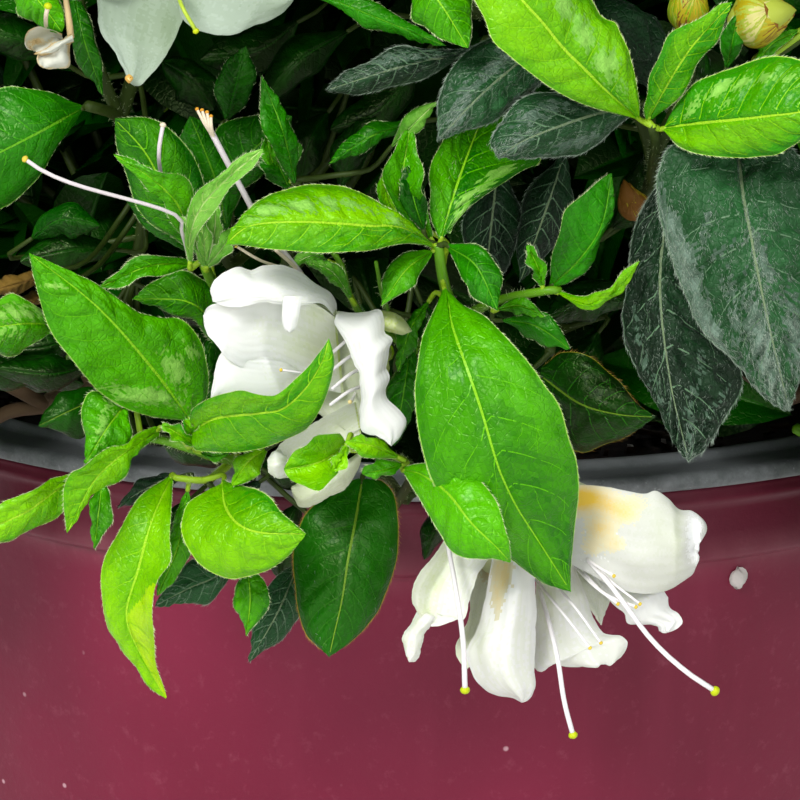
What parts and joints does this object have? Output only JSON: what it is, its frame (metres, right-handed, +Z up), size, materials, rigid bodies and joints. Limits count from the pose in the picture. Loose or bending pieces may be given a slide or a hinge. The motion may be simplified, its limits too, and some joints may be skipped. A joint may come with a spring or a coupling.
{
  "type": "azalea shrub",
  "caption": "Evergreen azalea shrub with white funnel flowers in a round tapered plastic nursery pot, grown over the rim.",
  "frame": {"origin": "centre of the pot's flat underside", "axes": "+Z up; -Y is the side the picture looks at; +X to the right seen from there"},
  "size_m": [0.4434, 0.4797, 0.5609],
  "materials": {
    "pot_shell": "satin moulded maroon plastic",
    "pot_lip": "satin black plastic",
    "potting_mix": "rough bark-based potting mix",
    "bark": "rough thin bark",
    "foliage": "evergreen leaves with white flowers"
  },
  "bodies": {
    "root": {"pot_shell": "pot_shell", "pot_lip": "pot_lip", "root_ball": "potting_mix", "stem": "bark", "bough_skirt_1": "bark", "bough_skirt_2": "bark", "bough_skirt_3": "bark", "bough_skirt_4": "bark", "bough_skirt_5": "bark", "bough_skirt_6": "bark", "bough_skirt_7": "bark", "bough_middle_1": "bark", "bough_middle_2": "bark", "bough_middle_3": "bark", "bough_middle_4": "bark", "bough_middle_5": "bark", "bough_middle_6": "bark", "bough_upper_1": "bark", "bough_upper_2": "bark", "bough_upper_3": "bark", "bough_upper_4": "bark", "bough_upper_5": "bark", "bough_crown": "bark", "foliage_skirt_1": "foliage", "foliage_skirt_2": "foliage", "foliage_skirt_3": "foliage", "foliage_skirt_4": "foliage", "foliage_skirt_5": "foliage", "foliage_skirt_6": "foliage", "foliage_skirt_7": "foliage", "foliage_middle_1": "foliage", "foliage_middle_2": "foliage", "foliage_middle_3": "foliage", "foliage_middle_4": "foliage", "foliage_middle_5": "foliage", "foliage_middle_6": "foliage", "foliage_upper_1": "foliage", "foliage_upper_2": "foliage", "foliage_upper_3": "foliage", "foliage_upper_4": "foliage", "foliage_upper_5": "foliage", "foliage_crown": "foliage"}
  },
  "joints": []
}
